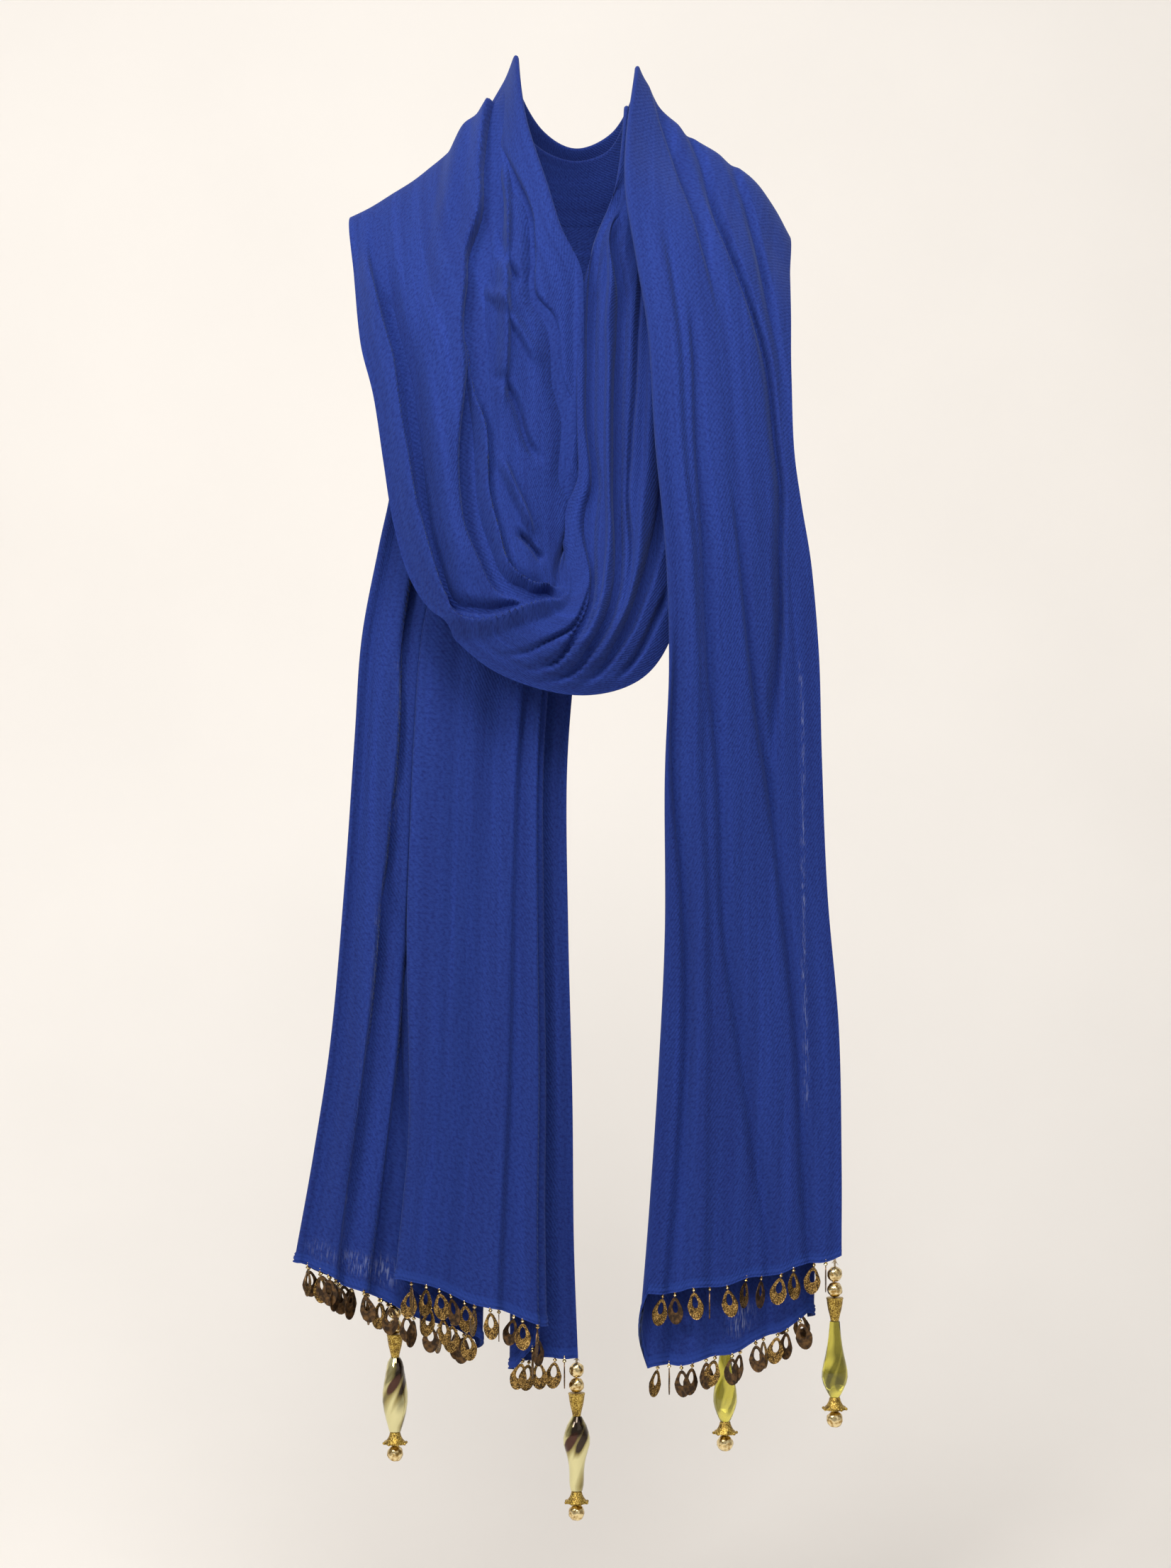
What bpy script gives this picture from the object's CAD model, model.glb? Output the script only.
"""Looks of a long, plain crepe scarf worn once around the neck, with beaded ends.

The cloth is five thin shells on the forms of the frame's five stretches. Each is
a grid worked out from the same sections and turns as the frame's solids, with
the finer pleats and creases added. The hems carry rows of metal drops, and each
corner carries a string of beads.
"""

import logging
import math
from dataclasses import dataclass
from enum import Enum
from typing import Callable

import bpy
import numpy as np
from mathutils import Matrix, Vector


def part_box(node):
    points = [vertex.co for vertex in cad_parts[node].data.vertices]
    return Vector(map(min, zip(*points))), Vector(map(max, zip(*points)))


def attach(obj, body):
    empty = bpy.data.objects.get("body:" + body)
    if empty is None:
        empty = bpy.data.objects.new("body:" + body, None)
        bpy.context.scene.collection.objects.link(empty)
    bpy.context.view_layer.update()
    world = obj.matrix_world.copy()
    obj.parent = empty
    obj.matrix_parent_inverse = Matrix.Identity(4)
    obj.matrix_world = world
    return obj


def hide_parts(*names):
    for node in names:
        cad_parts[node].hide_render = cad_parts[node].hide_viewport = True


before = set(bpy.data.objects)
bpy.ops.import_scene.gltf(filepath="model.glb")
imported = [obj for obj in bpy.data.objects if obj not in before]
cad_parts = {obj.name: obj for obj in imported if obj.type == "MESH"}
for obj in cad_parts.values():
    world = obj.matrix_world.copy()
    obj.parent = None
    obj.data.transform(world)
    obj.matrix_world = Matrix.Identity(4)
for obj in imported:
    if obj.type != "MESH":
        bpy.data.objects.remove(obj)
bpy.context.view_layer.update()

logging.basicConfig(level=logging.INFO, format="%(name)s: %(message)s")
log = logging.getLogger("scarf")

MM = 0.001
ROOT = "root"
BLACK, WHITE = "000000", "ffffff"
# Rows of a ring's depth under the top, its width, its depth from front to back and its turn.
Rings = tuple[tuple[float, float, float, float], ...]
# Pairs of a section along the scarf and a share across from the outer edge to the inner.
Way = tuple[tuple[float, float], ...]


def linear(hex_colour: str) -> tuple[float, float, float, float]:
    """Turns an sRGB hex colour into linear values.

    Args:
        hex_colour: Six hex digits.

    Returns:
        Red, green and blue, with an alpha of 1.
    """
    parts = [int(hex_colour[i:i + 2], 16) / 255 for i in (0, 2, 4)]
    low = 0.04045
    return (*[p / 12.92 if p <= low else ((p + 0.055) / 1.055) ** 2.4 for p in parts], 1.0)


def deselect_all() -> None:
    """Leaves object mode and clears the selection."""
    if bpy.context.object and bpy.context.object.mode != "OBJECT":
        bpy.ops.object.mode_set(mode="OBJECT")
    bpy.ops.object.select_all(action="DESELECT")


def set_up(tree: bpy.types.NodeTree, node: bpy.types.Node, links: dict | None = None, **settings) -> bpy.types.Node:
    """Sets a node and links its inputs.

    Args:
        tree: The material's or the world's node tree.
        node: The node.
        links: Output sockets by the name or number of the input that each goes to.
        settings: Properties of the node, input values by name with _ for a space and colours as sRGB hex values, or
            a colour ramp's stops as places from 0 to 1 with their sRGB hex colours.

    Returns:
        The node.
    """
    for name, value in settings.items():
        if name == "stops":
            elements = node.color_ramp.elements
            for _ in value[len(elements):]:
                elements.new(1.0)
            for element, (spot, colour) in zip(elements, value):
                element.position = spot
                element.color = linear(colour)
        elif hasattr(node, name):
            setattr(node, name, value)
        else:
            node.inputs[name.replace("_", " ")].default_value = linear(value) if isinstance(value, str) else value
    for name, socket in (links or {}).items():
        tree.links.new(socket, node.inputs[name])
    return node


def add_node(tree: bpy.types.NodeTree, kind: str, links: dict | None = None, **settings) -> bpy.types.Node:
    """Adds a node, whose kind is given without its ShaderNode prefix, and sets it up."""
    return set_up(tree, tree.nodes.new("ShaderNode" + kind), links, **settings)


def new_material(name: str) -> tuple[bpy.types.Material, bpy.types.NodeTree, bpy.types.Node]:
    """Makes a node material.

    Args:
        name: The finish's plain name.

    Returns:
        The material, its node tree and its shader.
    """
    material = bpy.data.materials.new(name)
    material.use_nodes = True
    return material, material.node_tree, material.node_tree.nodes["Principled BSDF"]


@dataclass(frozen=True)
class Crepe:
    """Woven cobalt crepe: matte, with a fine pebbled weave, faint lengthwise streaks and a soft fuzz.

    Overtwisted yarn gives the pebbles, and the dye takes a little unevenly along the warp.

    Attributes:
        hem: Colour of the doubled hem, which looks brighter.
        sheer: Colour where the weave is pulled open and light comes through.
        recess: How much darker the weave is between its pebbles.
        fuzz: Tint of the soft fuzz.
        pebble_mm: Size of a pebble; the real ones are 1.2 mm, drawn coarser so that they show.
        rib_pitch: Scale of ribs one metre apart: a wave texture repeats every 0.314 m at a scale of 1.
        rib_lean: How far the ribs lean off the warp, in degrees.
        streak_mm: Width of the streaks.
        streak_share: Their width as a share of their length.
        gap_scale: Scale across and along of the gaps in the open weave, which are 1 by 9 mm.
        bump_mm: Depth of the weave.
    """

    name: str = "cobalt_crepe"
    base: str = "1b3074"
    deep: str = "182b6d"
    light: str = "1f357f"
    hem: str = "213a86"
    sheer: str = "7d86a8"
    recess: str = "b4b9d4"
    fuzz: str = "8fa6e6"
    pebble_mm: float = 2.2
    rib_pitch: float = 0.32
    rib_lean: float = 32.0
    streak_mm: float = 9.0
    streak_share: float = 0.03
    gap_scale: tuple[float, float] = (1100, 110)
    roughness: float = 0.86
    bump_mm: float = 0.28

    def material(self) -> bpy.types.Material:
        """Builds the crepe on the cloth's own UV map in metres.

        Returns:
            The material.
        """
        material, tree, shader = new_material(self.name)
        flat = add_node(tree, "UVMap", uv_map="cloth").outputs["UV"]
        across, pebble = 1 / (self.streak_mm * MM), self.pebble_mm * MM
        streaks = add_node(tree, "Mapping", {"Vector": flat}, Scale=(across, across * self.streak_share, 1)).outputs[0]
        streaks = add_node(tree, "TexNoise", {"Vector": streaks}, Scale=1.0, Detail=3.0, Roughness=0.6).outputs["Fac"]
        pebbles = add_node(tree, "TexNoise", {"Vector": flat}, Scale=1 / pebble, Detail=2.0,
                           Roughness=0.65).outputs["Fac"]
        ribs = add_node(tree, "Mapping", {"Vector": flat}, Rotation=(0, 0, math.radians(self.rib_lean))).outputs[0]
        ribs = add_node(tree, "TexWave", {"Vector": ribs}, Scale=self.rib_pitch / pebble, Distortion=2.2, Detail=1.0,
                        Detail_Scale=2.0).outputs["Fac"]
        weave = add_node(tree, "Math", {0: pebbles, 1: ribs}, operation="ADD").outputs[0]
        body = add_node(tree, "ValToRGB", {"Fac": streaks},
                        stops=[(0.3, self.deep), (0.5, self.base), (0.72, self.light)]).outputs["Color"]
        fleck = add_node(tree, "ValToRGB", {"Fac": pebbles}, stops=[(0.3, self.recess), (0.58, WHITE)]).outputs["Color"]
        cloth = add_node(tree, "MixRGB", {"Color1": body, "Color2": fleck}, blend_type="MULTIPLY", Fac=1.0).outputs[0]
        hem = add_node(tree, "Attribute", attribute_name="hem").outputs["Fac"]
        cloth = add_node(tree, "MixRGB", {"Fac": hem, "Color1": cloth}, Color2=self.hem).outputs[0]
        open_weave = add_node(tree, "Attribute", attribute_name="sheer").outputs["Fac"]
        gaps = add_node(tree, "Mapping", {"Vector": flat}, Scale=(*self.gap_scale, 1)).outputs[0]
        gaps = add_node(tree, "TexNoise", {"Vector": gaps}, Scale=1.0, Detail=1.0).outputs["Fac"]
        gaps = add_node(tree, "ValToRGB", {"Fac": gaps}, stops=[(0.5, BLACK), (0.62, WHITE)]).outputs["Color"]
        shown = add_node(tree, "Math", {0: gaps, 1: open_weave}, operation="MULTIPLY").outputs[0]
        cloth = add_node(tree, "MixRGB", {"Fac": shown, "Color1": cloth}, Color2=self.sheer).outputs[0]
        bump = add_node(tree, "Bump", {"Height": weave}, Strength=0.55, Distance=self.bump_mm * MM).outputs[0]
        set_up(tree, shader, {"Base Color": cloth, "Normal": bump}, Roughness=self.roughness, IOR=1.45,
               Specular_IOR_Level=0.22, Sheen_Weight=0.16, Sheen_Roughness=0.45, Sheen_Tint=self.fuzz)
        return material


@dataclass(frozen=True)
class GrainedBrass:
    """Cast brass with an antique gold finish: fine bright grains over dark recesses.

    Attributes:
        grain_mm: Size of a grain; the real ones are 0.4 mm, drawn coarser so that they show.
        patch_scale: Scale of the worn patches, which are about 4 mm wide.
        bump_mm: Depth of the recesses between grains.
    """

    name: str
    dark: str
    mid: str
    bright: str
    grain_mm: float = 0.9
    patch_scale: float = 260.0
    bump_mm: float = 0.25
    roughness: float = 0.42
    metallic: float = 0.8

    def material(self) -> bpy.types.Material:
        """Builds the grained brass, on Object coordinates.

        Returns:
            The material.
        """
        material, tree, shader = new_material(self.name)
        place = add_node(tree, "TexCoord").outputs["Object"]
        grains = add_node(tree, "TexVoronoi", {"Vector": place}, Scale=1 / (self.grain_mm * MM)).outputs["Distance"]
        patches = add_node(tree, "TexNoise", {"Vector": place}, Scale=self.patch_scale, Detail=2.0).outputs["Fac"]
        worn = add_node(tree, "Math", {0: grains, 1: patches}, operation="MULTIPLY").outputs[0]
        colour = add_node(tree, "ValToRGB", {"Fac": worn},
                          stops=[(0.06, self.bright), (0.2, self.mid), (0.4, self.dark)]).outputs["Color"]
        bump = add_node(tree, "Bump", {"Height": grains}, Strength=0.8, Distance=self.bump_mm * MM,
                        invert=True).outputs[0]
        set_up(tree, shader, {"Base Color": colour, "Normal": bump}, Metallic=self.metallic, Roughness=self.roughness)
        return material


@dataclass(frozen=True)
class RubbedMetal:
    """Smooth metal whose colour and small dents follow one soft pattern.

    Attributes:
        low: The pattern's lower stop, with the colour in the dents.
        high: Its upper stop, with the colour around them.
        patch_mm: Size of a dent.
        strength: Strength of the dents.
        bump_mm: Their depth.
    """

    name: str
    low: tuple[float, str]
    high: tuple[float, str]
    patch_mm: float
    detail: float
    strength: float
    bump_mm: float
    metallic: float
    roughness: float

    def material(self) -> bpy.types.Material:
        """Builds the metal, on Object coordinates.

        Returns:
            The material.
        """
        material, tree, shader = new_material(self.name)
        place = add_node(tree, "TexCoord").outputs["Object"]
        dents = add_node(tree, "TexNoise", {"Vector": place}, Scale=1 / (self.patch_mm * MM),
                         Detail=self.detail).outputs["Fac"]
        colour = add_node(tree, "ValToRGB", {"Fac": dents}, stops=[self.low, self.high]).outputs["Color"]
        bump = add_node(tree, "Bump", {"Height": dents}, Strength=self.strength, Distance=self.bump_mm * MM).outputs[0]
        set_up(tree, shader, {"Base Color": colour, "Normal": bump}, Metallic=self.metallic, Roughness=self.roughness)
        return material


# Brass that was darkened to bronze brown and rubbed: the smooth backs and edges of the drops.
DARK_BRONZE = RubbedMetal("darkened_bronze", (0.42, "36291e"), (0.72, "7a5a36"), patch_mm=3.0, detail=3.0, strength=0.3,
                          bump_mm=0.3, metallic=0.7, roughness=0.36)
# Gold-plated brass beads: bright and crumpled, with a darker bloom in the dents.
POLISHED_GOLD = RubbedMetal("gold_plated_brass", (0.36, "9c7c42"), (0.56, "e6d2a0"), patch_mm=2.6, detail=2.0,
                            strength=0.6, bump_mm=0.6, metallic=1.0, roughness=0.2)
# Cast brass under an antique gold wash: dark on the drops' faces, and rubbed brighter on cones and caps.
PLATE_BRASS = GrainedBrass("antique_grained_brass", dark="3d2f1e", mid="876834", bright="dcb56c")
CAST_BRASS = GrainedBrass("rubbed_grained_brass", dark="6a5224", mid="a88a38", bright="e6cc78")


@dataclass(frozen=True)
class MirrorGlass:
    """Pressed glass with a gold coat inside, which makes it a soft mirror with dark swirls along its twist.

    Attributes:
        dimple: Colour of the one dark brown dimple.
        dimple_place: Its place on the untwisted bead, in millimetres.
        dimple_size: Its size.
        swirl_scale: Scale of the swirls, which are about 10 mm wide.
        swirl_share: Their width as a share of their length.
    """

    name: str = "gold_coated_glass"
    light: str = "d2cb97"
    mid: str = "958850"
    dark: str = "2e2010"
    dimple: str = "42200f"
    dimple_place: tuple[float, float, float] = (7.5, 5.8, -18.0)
    dimple_size: tuple[float, float, float] = (5.0, 5.0, 10.0)
    swirl_scale: float = 95.0
    swirl_share: float = 0.22
    roughness: float = 0.08

    def material(self) -> bpy.types.Material:
        """Builds the coated glass, on the piece's own coordinates, which turn with its twist.

        Returns:
            The material.
        """
        material, tree, shader = new_material(self.name)
        place = add_node(tree, "Attribute", attribute_name="untwisted").outputs["Vector"]
        swirls = add_node(tree, "Mapping", {"Vector": place}, Scale=(1, 1, self.swirl_share)).outputs[0]
        swirls = add_node(tree, "TexNoise", {"Vector": swirls}, Scale=self.swirl_scale, Detail=1.5,
                          Distortion=0.4).outputs["Fac"]
        colour = add_node(tree, "ValToRGB", {"Fac": swirls},
                          stops=[(0.41, self.dark), (0.48, self.mid), (0.6, self.light)]).outputs["Color"]
        scale = tuple(1 / (size * MM) for size in self.dimple_size)
        start = tuple(-where / size for where, size in zip(self.dimple_place, self.dimple_size))
        near = add_node(tree, "Mapping", {"Vector": place}, Location=start, Scale=scale).outputs[0]
        near = add_node(tree, "TexGradient", {"Vector": near}, gradient_type="SPHERICAL").outputs["Fac"]
        near = add_node(tree, "ValToRGB", {"Fac": near}, stops=[(0.08, BLACK), (0.3, WHITE)]).outputs["Color"]
        dimpled = add_node(tree, "MixRGB", {"Fac": near, "Color1": colour}, Color2=self.dimple).outputs[0]
        set_up(tree, shader, {"Base Color": dimpled}, Metallic=0.9, Roughness=self.roughness, Coat_Weight=0.6,
               Coat_Roughness=0.03)
        return material


@dataclass(frozen=True)
class OliveGlass:
    """Clear olive-yellow pressed glass: the edges look deep and the thick foot glows.

    Attributes:
        streak_scale: Scale of the streaks, which are about 8 mm wide.
        streak_share: Their width as a share of their length.
        bump_mm: Depth of the pressed waves.
    """

    name: str = "olive_glass"
    light: str = "dcd25a"
    deep: str = "5f5a14"
    streak_scale: float = 120.0
    streak_share: float = 0.12
    bump_mm: float = 0.8
    roughness: float = 0.03

    def material(self) -> bpy.types.Material:
        """Builds the glass, on the piece's own coordinates, which turn with its twist.

        Returns:
            The material.
        """
        material, tree, shader = new_material(self.name)
        place = add_node(tree, "Attribute", attribute_name="untwisted").outputs["Vector"]
        streaks = add_node(tree, "Mapping", {"Vector": place}, Scale=(1, 1, self.streak_share)).outputs[0]
        streaks = add_node(tree, "TexNoise", {"Vector": streaks}, Scale=self.streak_scale, Detail=1.0,
                           Distortion=0.3).outputs["Fac"]
        colour = add_node(tree, "ValToRGB", {"Fac": streaks},
                          stops=[(0.42, self.deep), (0.53, self.light)]).outputs["Color"]
        bump = add_node(tree, "Bump", {"Height": streaks}, Strength=0.1, Distance=self.bump_mm * MM).outputs[0]
        set_up(tree, shader, {"Base Color": colour, "Normal": bump}, Transmission_Weight=1.0,
               Roughness=self.roughness, IOR=1.5)
        return material


@dataclass(frozen=True)
class SewingThread:
    """Twisted brown polyester thread, matte, with its plies drawn as slanted bands.

    Attributes:
        ply_mm: Height of a ply's band; the real ones are 0.3 mm, drawn coarser so that they show.
        ply_pitch: Scale of bands one metre apart, because a wave texture repeats every 0.314 m at a scale of 1.
        ply_lean: How far the bands lean, in degrees.
        bump_mm: Depth between plies.
    """

    name: str = "brown_thread"
    light: str = "b5a488"
    dark: str = "75634c"
    ply_mm: float = 0.9
    ply_pitch: float = 0.314
    ply_lean: float = 35.0
    bump_mm: float = 0.2

    def material(self) -> bpy.types.Material:
        """Builds the thread, on Object coordinates.

        Returns:
            The material.
        """
        material, tree, shader = new_material(self.name)
        place = add_node(tree, "TexCoord").outputs["Object"]
        plies = add_node(tree, "Mapping", {"Vector": place}, Rotation=(0, math.radians(self.ply_lean), 0)).outputs[0]
        plies = add_node(tree, "TexWave", {"Vector": plies}, bands_direction="Z",
                         Scale=self.ply_pitch / (self.ply_mm * MM), Distortion=1.0).outputs["Fac"]
        colour = add_node(tree, "ValToRGB", {"Fac": plies},
                          stops=[(0.2, self.dark), (0.8, self.light)]).outputs["Color"]
        bump = add_node(tree, "Bump", {"Height": plies}, Strength=0.6, Distance=self.bump_mm * MM).outputs[0]
        set_up(tree, shader, {"Base Color": colour, "Normal": bump}, Roughness=0.8)
        return material


@dataclass(frozen=True)
class StudioPaper:
    """Matte cream paper of the floor and the wall behind, clear from its back, so that the scarf shows from there."""

    name: str = "cream_paper"
    shade: str = "f0ece7"
    colour: str = "f5f1ec"

    def material(self) -> bpy.types.Material:
        """Builds the paper.

        Returns:
            The material.
        """
        material, tree, shader = new_material(self.name)
        place = add_node(tree, "TexCoord").outputs["Object"]
        mottle = add_node(tree, "TexNoise", {"Vector": place}, Scale=3.0, Detail=3.0).outputs["Fac"]
        colour = add_node(tree, "ValToRGB", {"Fac": mottle},
                          stops=[(0.2, self.shade), (0.8, self.colour)]).outputs["Color"]
        set_up(tree, shader, {"Base Color": colour}, Roughness=0.95, Specular_IOR_Level=0.1)
        behind = add_node(tree, "NewGeometry").outputs["Backfacing"]
        clear = add_node(tree, "BsdfTransparent").outputs[0]
        seen = add_node(tree, "MixShader", {0: behind, 1: shader.outputs[0], 2: clear}).outputs[0]
        output = next(node for node in tree.nodes if node.type == "OUTPUT_MATERIAL")
        tree.links.new(seen, output.inputs["Surface"])
        return material


# The scarf's sections, a row for each, as in the frame's source, in millimetres: x, y and z of the outer edge and of
# the inner edge, the gap between layers, the belly towards the front and the sway.
LEFT_TAIL = (
    (-203, -104, -806, 2, -104, -806, 9, 0, 0),
    (-189, -103, -729, -1, -103, -733, 8, 1, 0),
    (-176, -102, -643, -2, -102, -643, 6.8, 2, 0),
    (-166, -100, -531, -5, -100, -531, 5.6, 2, 0),
    (-159, -98, -430, -6, -98, -430, 4.6, 3, 0),
    (-154, -95, -358, 0, -94, -353, 4, 3, 0),
    (-142, -90, -292, 8, -88, -281, 3.4, 3, 0),
    (-134, -84, -251, 8, -80, -214, 3, 3, 0),
    (-131, -72, -208, 6, -68, -141, 2.8, 4, 0),
    (-132, -54, -160, -22, -46, -72, 2.6, 0, 0),
    (-136, -30, -112, -32, -20, -10, 2.6, -8, 0),
    (-140, 2, -72, -44, 8, 46, 2.6, -12, 0),
)
INNER_WRAP = (
    (-118, 42, -84, -42, 36, 34, 3, -6, 0),
    (-68, 74, -94, -24, 54, 20, 3, 2, 0),
    (0, 86, -100, 0, 62, 14, 3, 3, 0),
    (66, 76, -94, 24, 56, 20, 3, 2, 0),
    (108, 46, -82, 36, 36, 34, 3, 0, 0),
    (124, 2, -68, 38, 8, 44, 3, -2, 2),
)
FRONT_LOOP = (
    (110, -34, -90, 30, -34, -24, 3, 1, 0),
    (92, -60, -116, 15, -62, -70, 3.4, 4, 0),
    (84, -82, -160, 4, -80, -112, 4, 5, 0),
    (80, -100, -226, 3, -94, -159, 4, 6, 0),
    (78, -114, -299, 3, -106, -207, 4, 8, 0),
    (71, -126, -352, 4, -116, -258, 4.5, 12, 0),
    (47, -136, -389, 2, -124, -300, 5, 18, 0),
    (2, -140, -401, -6, -128, -316, 5, 22, 0),
    (-53, -138, -386, -13, -126, -306, 5, 20, 0),
    (-93, -133, -353, -12, -122, -277, 5, 16, 0),
    (-116, -127, -320, -8, -116, -236, 5, 12, 0),
    (-129, -120, -279, -5, -108, -187, 5, 9, 0),
    (-137, -112, -233, -4, -98, -129, 5, 9, 0),
    (-145, -100, -184, -7, -84, -78, 5, 8, 0),
    (-155, -84, -145, -19, -64, -31, 5, 4, 0),
    (-162, -52, -92, -37, -30, 29, 4.5, -5, 0),
    (-168, 0, -40, -45, 14, 85, 4, -16, 0),
)
OUTER_WRAP = (
    (-148, 62, -66, -44, 48, 66, 4, -6, 0),
    (-88, 102, -106, -26, 74, 40, 4, 6, 0),
    (0, 116, -126, 0, 84, 28, 4, 8, 0),
    (86, 102, -112, 28, 74, 38, 4, 6, 2),
    (142, 60, -78, 44, 48, 60, 4, 2, 5),
    (159, 0, -54, 47, 14, 77, 4, 0, 8),
)
RIGHT_TAIL = (
    (157, -48, -91, 39, -36, 22, 4, 4, 4),
    (156, -80, -126, 37, -80, -30, 4, 8, 0),
    (155, -98, -169, 45, -112, -85, 4, 8, 0),
    (156, -110, -222, 53, -130, -138, 4, 7, 0),
    (161, -118, -263, 57, -144, -210, 4.5, 5, 0),
    (168, -123, -311, 65, -154, -291, 5, 4, 0),
    (173, -125, -372, 67, -155, -361, 5.5, 3, 0),
    (175, -126, -445, 64, -147, -435, 6.5, 3, 0),
    (179, -127, -541, 64, -138, -535, 7.5, 2, 0),
    (187, -127, -636, 59, -131, -636, 9, 2, 0),
    (189, -127, -732, 52, -128, -732, 10, 1, 0),
    (189, -127, -796, 46, -127, -796, 11, 0, 0),
)
SECTIONS = np.array(LEFT_TAIL + INNER_WRAP + FRONT_LOOP + OUTER_WRAP + RIGHT_TAIL, dtype=float)
LAST = len(SECTIONS) - 1


@dataclass(frozen=True)
class Turn:
    """One turn of the folded cloth.

    Attributes:
        across: Its place across, from 0 at the outer edge to 1 at the inner.
        layer: The layer that the cloth reaches there, counted from the front.
        drop: How far the hem hangs lower just before the turn, in millimetres.
        after: The same just after it.
    """

    across: float
    layer: int
    drop: float = 0
    after: float = 0


LEFT_TURNS = (
    Turn(1.0, 2, 70, 70),
    Turn(0.76, 1, 72, 72),
    Turn(0.89, 0, 44, 44),
    Turn(0.36, 1, 9, 9),
    Turn(0.66, 2, 50, 56),
    Turn(0.0, 3, 4, 4),
    Turn(0.37, 3, 30, 30),
)
RIGHT_TURNS = (Turn(0.0, 0, 2, 2), Turn(1.0, 1, 30, 84), Turn(0.13, 2, 42, 42), Turn(0.57, 2, 26, 26))
BAND_TURNS = (Turn(0.0, 0), Turn(1.0, 1), Turn(0.13, 2), Turn(0.57, 2))


@dataclass(frozen=True)
class Fold:
    """A long fold or crease along the scarf.

    Attributes:
        path: Its places, as pairs of a section along the scarf and a share across from the outer edge to the inner.
        outer: Width of its slope towards the outer edge, as a share of the section.
        inner: Width of its slope towards the inner edge, also as a share.
        height: How far it stands out in millimetres, or below 0 for a trough.
        lean: How far its crest leans towards the inner edge, in millimetres.
        fade: Sections over which it rises from nothing at both ends.
    """

    path: Way
    outer: float
    inner: float
    height: float
    lean: float = 0.0
    fade: float = 1.0


# Folds of the left end: its outer pleats, the edge of the front panel and soft lengthwise waves.
LEFT_FOLDS = (
    Fold(((0, 0.12), (1.2, 0.11), (2.9, 0.13), (4, 0.165), (5, 0.15), (9, 0.16)), 0.08, 0.025, 9, 7, fade=2),
    Fold(((1.2, 0.36), (2.25, 0.276), (2.7, 0.233), (3.3, 0.17)), 0.03, 0.04, -5, fade=0.6),
    Fold(((0, 0.04), (3, 0.04), (6, 0.06), (10, 0.1)), 0.03, 0.03, -4),
    Fold(((0, 0.23), (3, 0.25), (6, 0.26), (9, 0.25)), 0.08, 0.025, 7, 6),
    Fold(((0, 0.44), (3, 0.42), (6, 0.40), (10, 0.38)), 0.08, 0.06, 2),
    Fold(((0, 0.57), (1.4, 0.588), (2.95, 0.625), (4.35, 0.675), (8, 0.66), (11, 0.6)), 0.11, 0.07, -4),
    Fold(((0, 0.70), (3, 0.73), (6, 0.78), (11, 0.75)), 0.07, 0.04, 4.5, 2),
    Fold(((0, 0.84), (4, 0.84), (9, 0.86)), 0.06, 0.02, 6, 4),
    Fold(((0, 0.95), (4, 0.94), (9, 0.93)), 0.04, 0.03, 4),
    Fold(((1, 0.36), (3.6, 0.36), (5, 0.36), (7, 0.36)), 0.10, 0.10, 0, -12, fade=2),
)
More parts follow.
